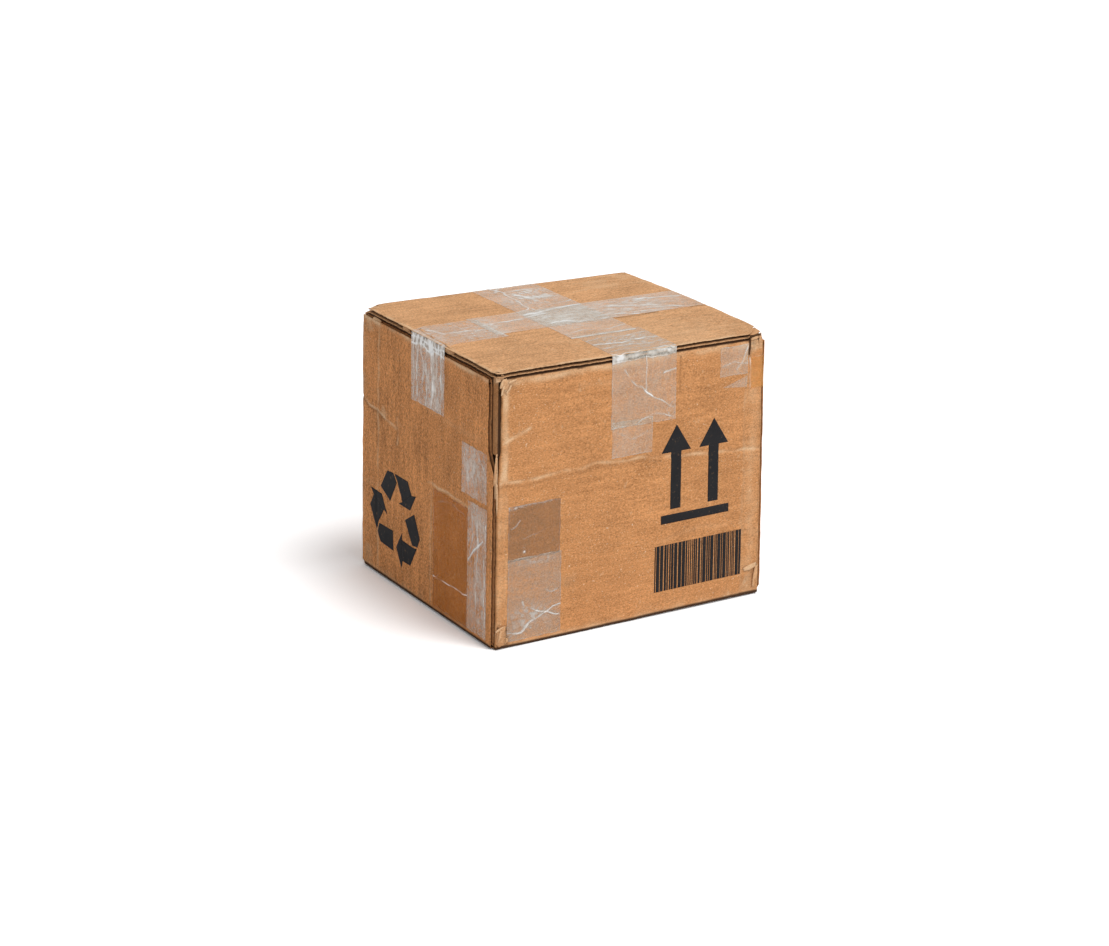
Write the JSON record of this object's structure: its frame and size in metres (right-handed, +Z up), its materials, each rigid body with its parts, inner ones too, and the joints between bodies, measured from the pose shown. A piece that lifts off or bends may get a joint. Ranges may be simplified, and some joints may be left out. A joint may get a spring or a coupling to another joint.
{
  "type": "taped parcel",
  "caption": "Worn corrugated board parcel, folded from one blank and closed with crossed strips of clear packing tape.",
  "frame": {"origin": "middle of the base, on the surface that the parcel stands on", "axes": "+Z up, X along the front that carries the up arrows with +X to the right, +Y from that front to the back"},
  "size_m": [0.2002, 0.1683, 0.1752],
  "materials": {
    "kraft_board": "worn brown kraft liner, matt, with fibre streaks, creases and scuffs",
    "clear_tape": "clear packing film, greyish over the board, wrinkled, with whitish lifted creases",
    "old_tape": "older dull film that darkens the board below",
    "ochre_tape": "aged ochre brown film",
    "black_ink": "matt black print, slightly worn"
  },
  "bodies": {
    "root": {"carton": "kraft_board", "tape_front": "clear_tape", "tape_rear": "clear_tape", "tape_left": "clear_tape", "tape_right": "clear_tape", "old_patch": "clear_tape", "corner_patch_upper": "old_tape", "corner_patch_lower": "clear_tape", "right_patch": "clear_tape", "tape_sliver": "clear_tape", "edge_tape": "ochre_tape", "small_patch": "clear_tape", "long_strip": "clear_tape", "ochre_strip": "ochre_tape", "up_arrow_print": "black_ink", "stripe_print": "black_ink", "loop_print": "black_ink"}
  },
  "joints": []
}
